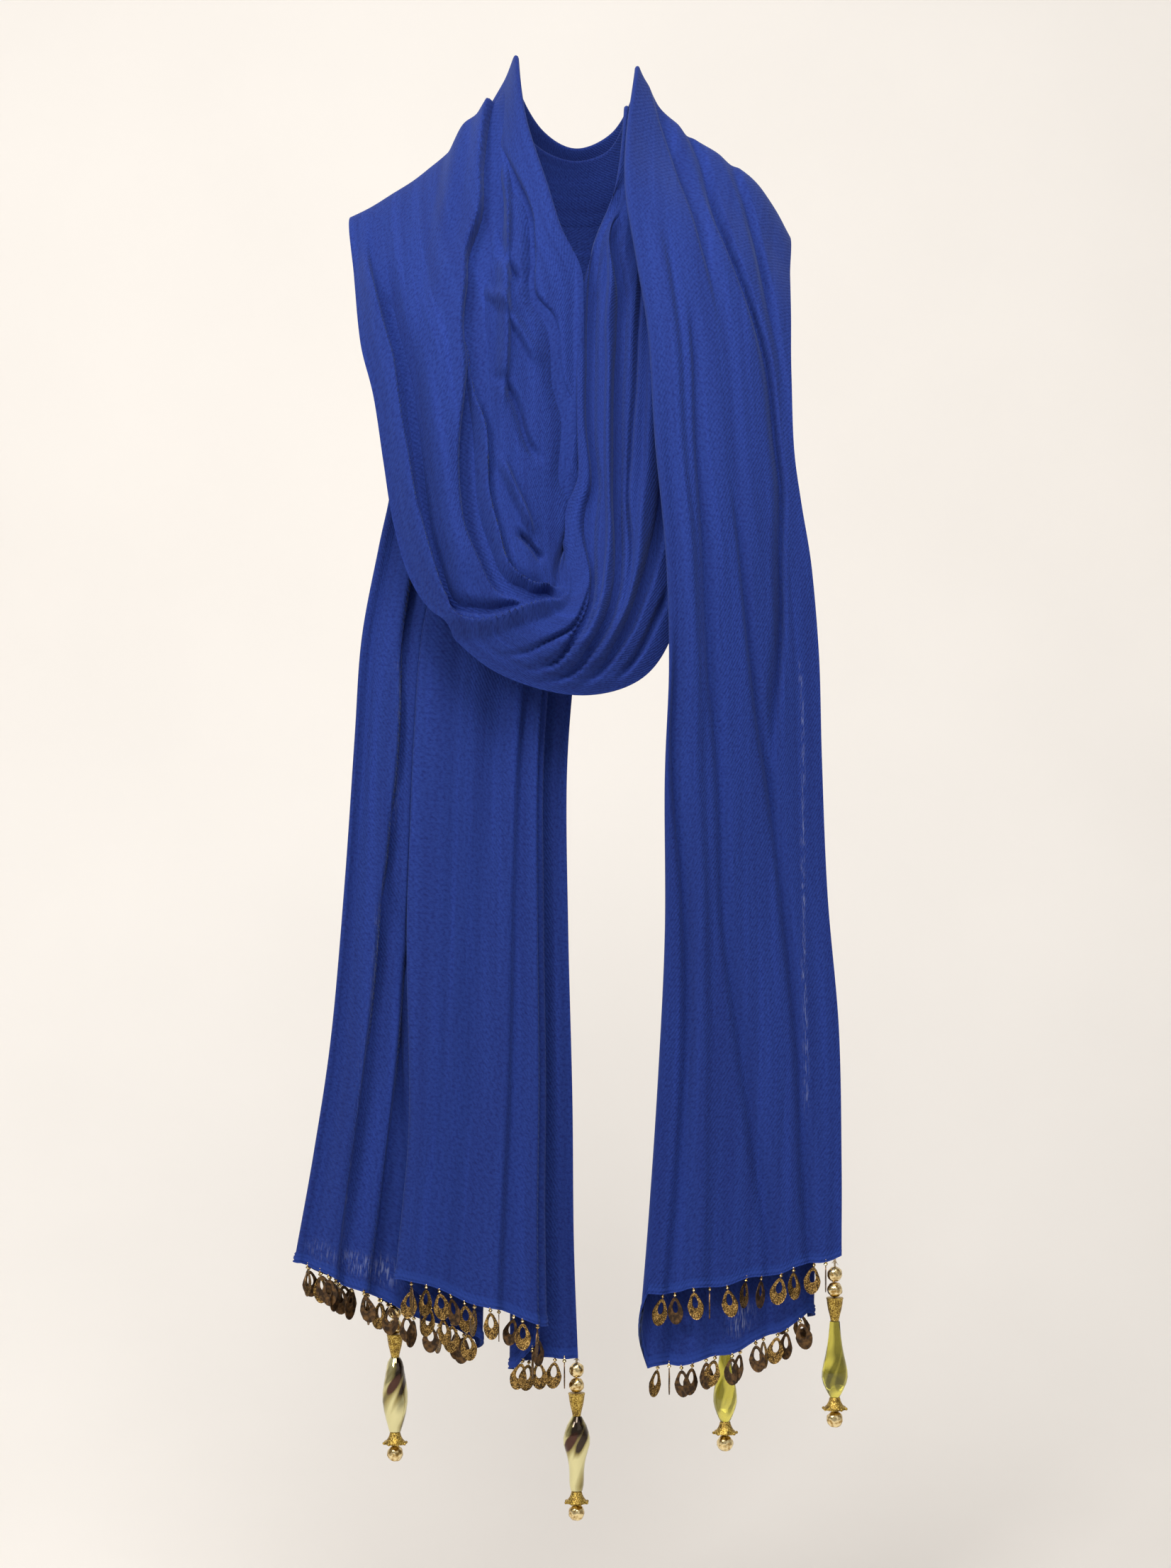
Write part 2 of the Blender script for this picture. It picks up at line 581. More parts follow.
# Folds from behind the neck, round the loop, behind the neck again and down the right end.
CHAIN_FOLDS = (
    Fold(((12, 0.35), (14, 0.35), (17, 0.35)), 0.12, 0.12, 3),
    Fold(((12, 0.68), (14, 0.66), (17, 0.68)), 0.12, 0.12, 3),
    # The front panel's edge: it runs up the left arm and across the bottom of the loop.
    Fold(((24.6, 0.97), (25.1, 0.80), (25.65, 0.62), (26.15, 0.42), (26.55, 0.18), (26.9, 0.06), (27.4, 0.075),
          (28, 0.10), (29.3, 0.093), (30.8, 0.085), (31.5, 0.095), (32.3, 0.085), (33, 0.07),
          (33.7, 0.085)), 0.10, 0.03, 12, 7, fade=1.5),
    Fold(((22.6, 1), (24, 1), (26.6, 1), (28, 1)), 0.2, 0.2, -4, 20, fade=1.2),
    Fold(((25.2, 0.88), (25.8, 0.69), (26.2, 0.52), (26.6, 0.30), (27, 0.16), (28, 0.175), (29.5, 0.165), (31, 0.155),
          (33, 0.135)), 0.04, 0.12, -8),
    # The deep valley of the left arm and the small fold beside it.
    Fold(((24.9, 0.80), (25.7, 0.655), (26.15, 0.585), (26.75, 0.43), (27.35, 0.385), (27.9, 0.353), (28.75, 0.352),
          (29.45, 0.378), (30.15, 0.434), (31, 0.457), (31.65, 0.528), (32, 0.56), (32.4, 0.663), (33, 0.72),
          (33.8, 0.775), (34.8, 0.76)), 0.03, 0.26, -13, -3, fade=1.6),
    Fold(((26.4, 0.52), (26.75, 0.41), (27.35, 0.365), (27.9, 0.333), (28.75, 0.332), (29.45, 0.358), (30.15, 0.414),
          (31, 0.437), (31.65, 0.508), (32, 0.54), (32.4, 0.643), (33, 0.70), (33.8, 0.755), (35, 0.74)),
         0.15, 0.035, 6, 7, fade=1.5),
    Fold(((27, 0.30), (28, 0.25), (29.5, 0.27), (31, 0.33), (32.4, 0.48), (33.5, 0.60), (35, 0.62)), 0.12, 0.08, 5, 1),
    Fold(((25, 0.85), (25.85, 0.755), (26.25, 0.662), (26.85, 0.547), (27.6, 0.526), (28.4, 0.503), (29.35, 0.512),
          (29.95, 0.47), (30.8, 0.465), (31.4, 0.50)), 0.05, 0.025, 10, 6),
    # The wrinkled inner panel beside it.
    Fold(((29.2, 0.62), (30.2, 0.66), (31.2, 0.70), (32.3, 0.80), (33.4, 0.86)), 0.05, 0.035, 8, 3),
    Fold(((28.2, 0.85), (28.8, 0.76), (29.5, 0.69), (30.1, 0.58)), 0.035, 0.035, -7, fade=0.5),
    Fold(((29.6, 0.84), (30.2, 0.76), (30.9, 0.66), (31.4, 0.60)), 0.03, 0.04, 6, fade=0.4),
    Fold(((27.0, 0.80), (27.6, 0.74), (28.3, 0.66), (28.9, 0.60)), 0.035, 0.03, 8, 2, fade=0.5),
    Fold(((26.4, 0.83), (26.9, 0.77), (27.5, 0.66)), 0.03, 0.03, -8, fade=0.3),
    Fold(((30.8, 0.78), (31.5, 0.72), (32.2, 0.76), (33, 0.80)), 0.03, 0.04, -7, fade=0.5),
    # The valley along the loop's inner edge, and that edge tucked behind the right arm.
    Fold(((25.2, 0.80), (26, 0.895), (27.1, 0.95), (27.9, 0.92), (28.9, 0.92), (29.25, 0.89), (30.2, 0.86),
          (30.75, 0.804), (31.3, 0.836), (31.85, 0.875), (32.5, 0.86), (33.3, 0.82)), 0.05, 0.03, -9, 3),
    Fold(((24.2, 1), (26.4, 1), (30.4, 1), (31.6, 1)), 0.22, 0.2, -9, 15, fade=1.2),
    Fold(((19.4, 1), (20.5, 1), (24, 1), (25.2, 1)), 0.14, 0.2, 3, 4, fade=1),
    # The pleats of the right arm, which sweep round the bottom and run out at its left.
    Fold(((17.6, 0.93), (18.75, 0.975), (19.35, 0.925), (20, 0.865), (20.9, 0.86), (22, 0.857), (22.45, 0.83),
          (23.1, 0.85), (23.7, 0.81), (24.5, 0.60), (24.95, 0.43), (25.35, 0.21), (25.8, 0.08)), 0.04, 0.09, -14, 2),
    Fold(((17.8, 0.93), (18.85, 0.81), (19.55, 0.642), (20.2, 0.595), (20.9, 0.61), (22, 0.614), (22.65, 0.613),
          (23.35, 0.548), (24, 0.476), (24.6, 0.34), (25.1, 0.15), (25.6, 0.03)), 0.04, 0.11, -14, 2),
    Fold(((17.6, 0.86), (18.8, 0.89), (19.5, 0.78), (20.5, 0.73), (22, 0.735), (23, 0.71), (24, 0.62), (24.8, 0.40),
          (25.3, 0.22)), 0.07, 0.05, 5, 2),
    Fold(((18.4, 0.70), (19.25, 0.56), (20.15, 0.50), (20.75, 0.50), (21.5, 0.53), (22.3, 0.555), (22.8, 0.51),
          (23.4, 0.46)), 0.04, 0.03, -4, -2),
    Fold(((18.2, 0.40), (20, 0.34), (21.5, 0.36), (22.5, 0.42), (23.4, 0.40), (24.2, 0.34), (24.8, 0.22)),
         0.10, 0.07, 5, 2),
    Fold(((20.2, 0.15), (21.8, 0.204), (22.1, 0.228), (22.7, 0.291), (23.55, 0.321), (24.15, 0.273), (24.7, 0.14),
          (25.1, 0.03)), 0.05, 0.10, -11, 1),
    Fold(((23.9, 0.82), (24.5, 0.70), (24.95, 0.54), (25.4, 0.40), (25.85, 0.20), (26.25, 0.08)), 0.05, 0.04, -6, 1),
    Fold(((22.6, 0.12), (23.4, 0.17), (24, 0.14), (24.5, 0.06)), 0.05, 0.04, -6, fade=0.5),
    # The pleats of the right end's shoulder, from behind the neck down.
    Fold(((39.3, 0.85), (40.1, 0.835), (40.85, 0.682), (42.15, 0.543), (44, 0.45)), 0.10, 0.06, -6, fade=2.2),
    Fold(((39.2, 0.62), (40, 0.621), (40.65, 0.521), (41.5, 0.42), (42.3, 0.283), (43.05, 0.18), (44.2, 0.135),
          (44.9, 0.137), (45.95, 0.22), (46.6, 0.25), (47.6, 0.309), (49, 0.33)), 0.035, 0.08, -9, -3, fade=2.6),
    Fold(((39.2, 0.37), (40.25, 0.383), (40.8, 0.268), (41.5, 0.184), (42.35, 0.122), (43.2, 0.06),
          (44, 0.03)), 0.04, 0.08, -7, -2, fade=2.6),
    Fold(((43, 0.68), (45, 0.72), (47.05, 0.741), (48.1, 0.66), (49, 0.645), (50.1, 0.531), (51.6, 0.373),
          (52, 0.36)), 0.07, 0.05, -4.5),
    Fold(((45, 0.50), (46.95, 0.469), (47.6, 0.415), (48.4, 0.323), (49.6, 0.247), (50.7, 0.209), (52, 0.16)),
         0.06, 0.04, -4.5),
    Fold(((46.5, 0.96), (48.2, 0.94), (48.75, 0.90), (49.5, 0.861), (51.4, 0.858), (52, 0.86)), 0.06, 0.04, -5),
    Fold(((42, 0.86), (44, 0.84), (46, 0.86), (49, 0.78), (52, 0.70)), 0.06, 0.08, 3.5),
)


@dataclass(frozen=True)
class SheerLine:
    """A narrow stretch of one layer where the weave is pulled open and lets light through.

    Attributes:
        layer: The layer it lies in.
        path: Its places, as pairs of a section and a share across.
        width: Half its width, as a share of the section.
        strength: How open the weave is, from 0 to 1.
    """

    layer: int
    path: Way
    width: float
    strength: float


LEFT_SHEER = (
    SheerLine(2, ((0.3, 0.128), (1.25, 0.106), (2.15, 0.105), (2.9, 0.125), (3.4, 0.168), (4.9, 0.144)), 0.01, 0.22),
    SheerLine(2, ((0.08, 0.20), (0.38, 0.20)), 0.05, 0.45),
    SheerLine(2, ((0.08, 0.31), (0.42, 0.31)), 0.035, 0.5),
    SheerLine(2, ((0.05, 0.06), (0.3, 0.06)), 0.04, 0.3),
)
RIGHT_SHEER = (
    SheerLine(0, ((47.0, 0.14), (47.95, 0.128), (48.5, 0.143), (49.05, 0.157), (49.65, 0.187), (50.6, 0.194)),
              0.008, 0.5),
    SheerLine(1, ((51.5, 0.5), (51.9, 0.5)), 0.05, 0.6),
)


def smooth_step(x: np.ndarray) -> np.ndarray:
    """Eases from 0 to 1 between 0 and 1."""
    f = np.clip(x, 0, 1)
    return f * f * (3 - 2 * f)


def blend(start: np.ndarray, leave: np.ndarray, end: np.ndarray, arrive: np.ndarray, f: np.ndarray) -> np.ndarray:
    """Runs a smooth curve from one value to another.

    Args:
        start: The first value.
        leave: The slope there.
        end: The second value.
        arrive: The slope there.
        f: How far the way has gone, from 0 to 1.

    Returns:
        The curve's values.
    """
    return (start * (2 * f**3 - 3 * f**2 + 1) + leave * (f**3 - 2 * f**2 + f)
            + end * (3 * f**2 - 2 * f**3) + arrive * (f**3 - f**2))


def along(values: np.ndarray, place: np.ndarray) -> np.ndarray:
    """Runs a smooth curve through evenly spaced values.

    Args:
        values: One value, or one row of values, for each whole place.
        place: The places to read, which may lie a little past both ends.

    Returns:
        The curve's values at those places.
    """
    last = len(values) - 1
    i = np.clip(np.floor(place).astype(int), 0, last - 1)
    f = (place - i).reshape(-1, *[1] * (values.ndim - 1))
    p1, p2 = values[i], values[i + 1]
    p0 = np.where((i > 0).reshape(f.shape), values[np.maximum(i - 1, 0)], 2 * p1 - p2)
    p3 = np.where((i + 2 <= last).reshape(f.shape), values[np.minimum(i + 2, last)], 2 * p2 - p1)
    return blend(p1, (p2 - p0) / 2, p2, (p3 - p1) / 2, f)


def route(path: Way, place: np.ndarray) -> np.ndarray:
    """Runs a smooth curve through pairs of a place and a value.

    Args:
        path: The pairs, in order of place.
        place: The places to read; outside the path, its ends hold.

    Returns:
        The curve's values at those places.
    """
    x, y = np.array(path, dtype=float).T
    slope = np.gradient(y, x)
    i = np.clip(np.searchsorted(x, place) - 1, 0, len(x) - 2)
    width = x[i + 1] - x[i]
    f = np.clip((place - x[i]) / width, 0, 1)
    return blend(y[i], slope[i] * width, y[i + 1], slope[i + 1] * width, f)


def unit(vectors: np.ndarray) -> np.ndarray:
    """Scales rows of vectors to length 1."""
    return vectors / np.maximum(np.linalg.norm(vectors, axis=-1, keepdims=True), 1e-9)


@dataclass(frozen=True)
class Ripples:
    """Fine lengthwise ripples that wander and come and go, drawn from a seed.

    Attributes:
        seed: Seed of the draws.
        waves: How many waves are added up.
        count: Least and most ridges of a wave across the cloth.
        height: Its least and most height in millimetres.
        wander: How far it wanders sideways, as a share of the width.
        slow: How fast it wanders along the scarf.
        pace: How fast it comes and goes.
    """

    seed: int = 7
    waves: int = 7
    count: tuple[float, float] = (2, 7.5)
    height: tuple[float, float] = (0.12, 0.32)
    wander: tuple[float, float] = (0.04, 0.14)
    slow: tuple[float, float] = (0.3, 1.1)
    pace: tuple[float, float] = (0.5, 1.6)

    def heights(self, share: np.ndarray, place: np.ndarray) -> np.ndarray:
        """Adds up the ripples at each grid point.

        Args:
            share: Places across, a row for each section.
            place: The sections' places along the scarf.

        Returns:
            Heights in millimetres.
        """
        draw = np.random.default_rng(self.seed)
        total = np.zeros_like(share)
        for _ in range(self.waves):
            count, size, wander, slow = [draw.uniform(*span) for span in
                                         (self.count, self.height, self.wander, self.slow)]
            phase, start = draw.uniform(0, 2 * math.pi, 2)
            pace = draw.uniform(*self.pace)
            shift = (wander * np.sin(slow * place + phase))[:, None]
            swell = (0.5 + 0.5 * np.sin(pace * place + start))[:, None]
            total += size * swell * np.sin(2 * math.pi * count * (share + shift) + start)
        return total


@dataclass(frozen=True)
class Hem:
    """The narrow rolled edge at both ends, with two rows of stitches pressed into it.

    Attributes:
        height: Height of the roll in millimetres, as are all the lengths below.
        puff: How far it stands out on each side.
        soft: Height over which it dies away.
        stitch_rows: Distance of the two rows of stitches from the edge.
        groove: Depth of a row.
        groove_width: Half its width.
        brightness: How much of the hem's brighter colour shows, from 0 to 1.
        colour_soft: Height over which the colour dies away.
        grid_step: Space between the rows of the grid in the hem.
        grid_reach: How far from the edge these rows go.
    """

    height: float = 6.5
    puff: float = 1.1
    soft: float = 0.8
    stitch_rows: tuple[float, float] = (1.8, 5.4)
    groove: float = 0.9
    groove_width: float = 0.5
    brightness: float = 0.6
    colour_soft: float = 1.5
    grid_step: float = 0.8
    grid_reach: float = 10

    def extra(self, away: np.ndarray) -> np.ndarray:
        """Gives the extra half thickness that the roll and its stitches make.

        Args:
            away: Distances from the edge.

        Returns:
            A value in millimetres for each of them.
        """
        roll = self.puff * smooth_step((self.height + self.soft - away) / self.soft)
        grooves = sum(self.groove * np.exp(-((away - row) / self.groove_width) ** 2) for row in self.stitch_rows)
        return roll - np.minimum(grooves, roll)

    def colour_share(self, away: np.ndarray) -> np.ndarray:
        """Gives how far the hem's brighter colour shows at each distance from the edge."""
        return self.brightness * smooth_step((self.height + self.colour_soft - away) / self.colour_soft)


@dataclass(frozen=True)
class Stretch:
    """One stretch of the wound cloth, between two sections.

    Attributes:
        node: The frame's node that it stands for.
        first: Its first section.
        last: Its last section.
        turns: How the flat cloth is folded across it.
        folds: The folds that run along it.
        echo: How much of a layer's folds the next layer behind repeats.
        hem: -1 where its first section is a hem, 1 where its last one is, 0 where it has none.
        flat: Width and length in metres of the cloth that shows.
        front_step: Space between the columns of the front layer, in millimetres.
        back_step: The same for the layers behind.
        row_step: Space between its rows, in millimetres.
        thickness: Thickness of the cloth in millimetres.
        sheer: Where its weave is pulled open.
        sheer_fade: Sections over which that begins and ends.
        hem_sag: How far the middle of a hem's run hangs lower than its ends.
        hem_wave: Height of the hem's small waves.
        wave_rate: How fast the waves follow each other across.
        layer_shift: How far the waves of a layer lie off those of the layer before.
        ripples: Its fine ripples.
        edge: Its rolled edge.
    """

    node: str
    first: float
    last: float
    turns: tuple[Turn, ...]
    folds: tuple[Fold, ...]
    echo: float
    hem: int
    flat: tuple[float, float]
    front_step: float = 2.0
    back_step: float = 3.5
    row_step: float = 4.0
    thickness: float = 0.6
    sheer: tuple[SheerLine, ...] = ()
    sheer_fade: float = 0.15
    hem_sag: float = 4.0
    hem_wave: float = 1.3
    wave_rate: float = 23
    layer_shift: float = 2
    ripples: Ripples = Ripples()
    edge: Hem = Hem()

    def columns(self, chord: float, gap: float) -> dict[str, np.ndarray]:
        """Lists the columns of the grid across the folded cloth.

        Args:
            chord: Mean width of the sections in millimetres.
            gap: Mean distance between layers in millimetres.

        Returns:
            Arrays over the columns: share of the chord, share of the gap that turns take from it, layer,
            drop of the hem and number of the run.
        """
        names = ("chord", "gap", "layer", "drop", "run")
        rows = []
        turns = self.turns
        for i in range(1, len(turns)):
            before, after = turns[i - 1], turns[i]
            way = math.copysign(1, after.across - before.across)
            start = abs(before.layer - turns[i - 2].layer) / 2 if i > 1 else 0
            end = abs(after.layer - before.layer) / 2 if i < len(turns) - 1 else 0
            step = self.front_step if before.layer == 0 else self.back_step
            count = max(2, round((abs(after.across - before.across) * chord - (start + end) * gap) / step))
            for f in np.linspace(0, 1, count + 1):
                spot = before.across + (after.across - before.across) * f
                rows.append((spot, way * (start * (1 - f) - end * f), before.layer,
                             before.after + (after.drop - before.after) * f, i))
            if end:
                steps = 7
                for k in range(1, steps):
                    angle = math.pi * k / steps
                    level = (before.layer + after.layer) / 2 + (before.layer - after.layer) / 2 * math.cos(angle)
                    rows.append((after.across, way * end * (math.sin(angle) - 1), level,
                                 after.drop + (after.after - after.drop) * k / steps, 0))
        return dict(zip(names, np.array(rows).T))

    def fold_shift(self, share: np.ndarray, place: np.ndarray) -> tuple[np.ndarray, np.ndarray]:
        """Adds up the folds at each grid point.

        Args:
            share: Places across, a row for each section.
            place: The sections' places along the scarf.

        Returns:
            How far each point stands out, and how far it leans inwards, in millimetres.
        """
        height = np.zeros_like(share)
        lean = np.zeros_like(share)
        for fold in self.folds:
            first, last = fold.path[0][0], fold.path[-1][0]
            centre = route(fold.path, place)
            away = share - centre[:, None]
            away = np.where(away < 0, -away / fold.outer, away / fold.inner)
            begin = smooth_step((place - first) / fold.fade) if first > 0 else np.ones_like(place)
            finish = smooth_step((last - place) / fold.fade) if last < LAST else np.ones_like(place)
            bump = 0.5 * (1 + np.cos(math.pi * np.clip(away, 0, 1))) * (begin * finish)[:, None]
            height += fold.height * bump
            lean += fold.lean * bump
        return height + self.ripples.heights(share, place), lean

    def points(self, place: np.ndarray) -> tuple[np.ndarray, dict[str, np.ndarray]]:
        """Works out the middle surface of the cloth.

        Args:
            place: The sections' places along the scarf, a row of points for each.

        Returns:
            The points in millimetres, and the columns they stand in.
        """
        outer, inner = along(SECTIONS[:, :3], place), along(SECTIONS[:, 3:6], place)
        gap, belly, sway = along(SECTIONS[:, 6:9], place).T
        chord = np.linalg.norm(inner - outer, axis=1)
        across = unit(inner - outer)
        reach = 0.4
        middle = SECTIONS[:, :3] + SECTIONS[:, 3:6]
        out = unit(np.cross(across, along(middle, place + reach) - along(middle, place - reach)))
        column = self.columns(float(chord.mean()), float(gap.mean()))
        spot = column["chord"] * chord[:, None] + column["gap"] * gap[:, None]
        level = -column["layer"] * gap[:, None]
        share = np.clip(spot / chord[:, None], 0, 1)
        height, lean = self.fold_shift(share, place)
        echo = self.echo ** column["layer"]
        curve = belly[:, None] * np.sin(math.pi * share) + sway[:, None] * np.sin(2 * math.pi * share)
        grid = outer[:, None, :] + across[:, None, :] * (spot + lean * echo)[..., None]
        grid = grid + out[:, None, :] * (level + height * echo + curve)[..., None]
        sag = self.hem_sag * np.sin(math.pi * column["chord"]) * (column["layer"] % 2 + 0.5)
        wave = self.hem_wave * np.sin(self.wave_rate * column["chord"] + self.layer_shift * column["layer"])
        grid[..., 2] -= (column["drop"] + sag + wave) * self.hem_share(place)[:, None]
        return grid, column

    def open_weave(self, place: np.ndarray, column: dict[str, np.ndarray]) -> np.ndarray:
        """Gives how open the weave is at each grid point, from 0 to 1.

        Args:
            place: The sections' places along the scarf.
            column: The columns of the grid.

        Returns:
            A row of values for each section.
        """
        total = np.zeros((len(place), len(column["chord"])))
        for line in self.sheer:
            away = (column["chord"] - route(line.path, place)[:, None]) / line.width
            begin = smooth_step((place - line.path[0][0]) / self.sheer_fade)
            finish = smooth_step((line.path[-1][0] - place) / self.sheer_fade)
            total += line.strength * np.exp(-away**2) * (begin * finish)[:, None] * (column["layer"] == line.layer)
        return np.clip(total, 0, 1)

    def hem_share(self, place: np.ndarray) -> np.ndarray:
        """Gives how much of the hem's drop shows: all of it at the hem, and none at the other end.

        Args:
            place: The sections' places along the scarf.

        Returns:
            A share for each place.
        """
        span = self.last - self.first
        away = (self.last - place) / span if self.hem < 0 else (place - self.first) / span
        return away * np.abs(away) if self.hem else np.zeros_like(place)

    def hem_lines(self) -> list[np.ndarray]:
        """Gives the hem's lower edge in millimetres, one line of points for each run."""
        grid, column = self.points(np.array([float(self.first if self.hem < 0 else self.last)]))
        return [grid[0][column["run"] == run] for run in range(1, len(self.turns))]

    def places(self) -> np.ndarray:
        """Works out the places of the rows, which stand closer together in the sewn hem.

        Returns:
            Places along the scarf.
        """
        probes = 200
        probe = np.linspace(self.first, self.last, probes)
        middle = along((SECTIONS[:, :3] + SECTIONS[:, 3:6]) / 2, probe)
        length = np.concatenate([[0], np.cumsum(np.linalg.norm(np.diff(middle, axis=0), axis=1))])
        count = round(length[-1] / self.row_step)
        marks = np.linspace(0, length[-1], count + 1)
        if self.hem:
            close = np.arange(self.edge.grid_step, self.edge.grid_reach, self.edge.grid_step)
            near = close if self.hem < 0 else length[-1] - close
            marks = np.unique(np.concatenate([marks, near]))
        return np.interp(marks, length, probe)

    def build(self, crepe: bpy.types.Material) -> bpy.types.Object:
        """Builds the stretch as a closed thin shell and dresses it.

        Args:
            crepe: The cloth's material.

        Returns:
            The new piece, riding and standing for its node.
        """
        place = self.places()
        step = 0.02
        padded = np.concatenate([[place[0] - step], place, [place[-1] + step]])
        padded = padded if not self.hem else np.clip(padded, 0, LAST)
        grid, column = self.points(padded)
        # No section lies past a hem, so the row beyond it goes on in line with the last two.
        if self.hem < 0:
            grid[0] = 2 * grid[1] - grid[2]
        if self.hem > 0:
            grid[-1] = 2 * grid[-2] - grid[-3]
        lengthwise = grid[2:] - grid[:-2]
        crosswise = [grid[:, 1:2] - grid[:, :1], grid[:, 2:] - grid[:, :-2], grid[:, -1:] - grid[:, -2:-1]]
        normal = unit(np.cross(lengthwise, np.concatenate(crosswise, axis=1)[1:-1]))
        grid = grid[1:-1]
        obj = self.shell(grid, normal, self.open_weave(place, column))
        obj.data.materials.append(crepe)
        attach(obj, ROOT)
        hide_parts(self.node)
        return obj

    def shell(self, grid: np.ndarray, normal: np.ndarray, open_weave: np.ndarray) -> bpy.types.Object:
        """Thickens the middle surface into a closed shell with a UV map in metres.

        Args:
            grid: The middle surface's points in millimetres.
            normal: The way out of the cloth at each of them.
            open_weave: How open the weave is at each of them.

        Returns:
            The shell's object.
        """
        rows, cols = grid.shape[:2]
        along_mm = np.concatenate([[0], np.cumsum(np.linalg.norm(np.diff(grid, axis=0), axis=2).mean(axis=1))])
        across_mm = np.concatenate([[0], np.cumsum(np.linalg.norm(np.diff(grid, axis=1), axis=2).mean(axis=0))])
        from_hem = along_mm if self.hem < 0 else along_mm[-1] - along_mm if self.hem else np.full(rows, np.inf)
        half = (self.thickness / 2 + self.edge.extra(from_hem))[:, None, None]
        points = np.concatenate([(grid + normal * half).reshape(-1, 3), (grid - normal * half).reshape(-1, 3)]) * MM
        index = np.arange(rows * cols).reshape(rows, cols)
        a, b, c, d = index[:-1, :-1], index[1:, :-1], index[1:, 1:], index[:-1, 1:]
        front = np.stack([a, b, c, d], axis=-1).reshape(-1, 4)
        back = front[:, ::-1] + rows * cols
        rim = np.concatenate([index[:, 0], index[-1, 1:], index[-2::-1, -1], index[0, -2:0:-1]])
        after = np.roll(rim, -1)
        sides = np.stack([rim, rim + rows * cols, after + rows * cols, after], axis=-1)
        quads = np.concatenate([front, back, sides])
        mesh = bpy.data.meshes.new(self.node + "_cloth")
        mesh.from_pydata(points.tolist(), [], quads.tolist())
        uv = np.stack(np.broadcast_arrays(across_mm[None, :], along_mm[:, None]), axis=-1).reshape(-1, 2) * MM
        layer = mesh.uv_layers.new(name="cloth")
        layer.data.foreach_set("uv", np.concatenate([uv, uv])[quads.ravel()].ravel())
        hem = mesh.attributes.new("hem", "FLOAT", "POINT")
        shade = np.repeat(self.edge.colour_share(from_hem), cols)
        hem.data.foreach_set("value", np.concatenate([shade, shade]))
        sheer = mesh.attributes.new("sheer", "FLOAT", "POINT")
        sheer.data.foreach_set("value", np.tile(open_weave.ravel(), 2))
        mesh.polygons.foreach_set("use_smooth", np.ones(len(quads), dtype=bool))
        normals = np.concatenate([normal.reshape(-1, 3), -normal.reshape(-1, 3)])
        mesh.normals_split_custom_set_from_vertices(normals.tolist())
        obj = bpy.data.objects.new(self.node + "_cloth", mesh)
        bpy.context.collection.objects.link(obj)
        return obj


STRETCHES = (
    Stretch("left_tail", 0, 11, LEFT_TURNS, LEFT_FOLDS, 1.0, -1, (0.44, 0.88), sheer=LEFT_SHEER),
    Stretch("neck_wrap_inner", 11, 17, BAND_TURNS, CHAIN_FOLDS, 0.2, 0, (0.32, 0.30)),
    Stretch("front_loop", 17, 34, BAND_TURNS, CHAIN_FOLDS, 0.2, 0, (0.34, 0.84), front_step=1.4, row_step=2.75),
    Stretch("neck_wrap_outer", 34, 40, BAND_TURNS, CHAIN_FOLDS, 0.2, 0, (0.38, 0.42)),
    Stretch("right_tail", 40, 52, RIGHT_TURNS, CHAIN_FOLDS, 1.0, 1, (0.38, 0.92), sheer=RIGHT_SHEER,
            hem_sag=7.0),
)


def select_by(obj: bpy.types.Object, test: Callable, kind: str) -> None:
    """Selects, in edit mode, the parts of a mesh that pass a test.

    Args:
        obj: The object, in edit mode.
        test: Takes a vertex, an edge or a face of the mesh and says whether it is selected.
        kind: VERT, EDGE or FACE.
    """
    bpy.ops.mesh.select_mode(type=kind)
    bpy.ops.mesh.select_all(action="DESELECT")
    bpy.ops.object.mode_set(mode="OBJECT")
    for part in {"VERT": obj.data.vertices, "EDGE": obj.data.edges, "FACE": obj.data.polygons}[kind]:
        part.select = bool(test(part))
    bpy.ops.object.mode_set(mode="EDIT")


def copy_of(pattern: bpy.types.Object, name: str, place: Matrix) -> bpy.types.Object:
    """Copies a piece that is modelled once, with a mesh of its own.

    Args:
        pattern: The piece at the origin.
        name: The copy's name.
        place: Where its mesh goes.

    Returns:
        The copy, whose object stays at the origin.
    """
    obj = pattern.copy()
    obj.data = pattern.data.copy()
    obj.data.transform(place)
    obj.name = obj.data.name = name
    bpy.context.collection.objects.link(obj)
    return obj


def joined(pieces: list[bpy.types.Object], name: str) -> bpy.types.Object:
    """Joins pieces into the first of them.

    Args:
        pieces: The pieces.
        name: Name of the result.

    Returns:
        The joined piece.
    """
    deselect_all()
    for piece in pieces:
        piece.select_set(True)
    bpy.context.view_layer.objects.active = pieces[0]
    bpy.ops.object.join()
    pieces[0].name = pieces[0].data.name = name
    return pieces[0]


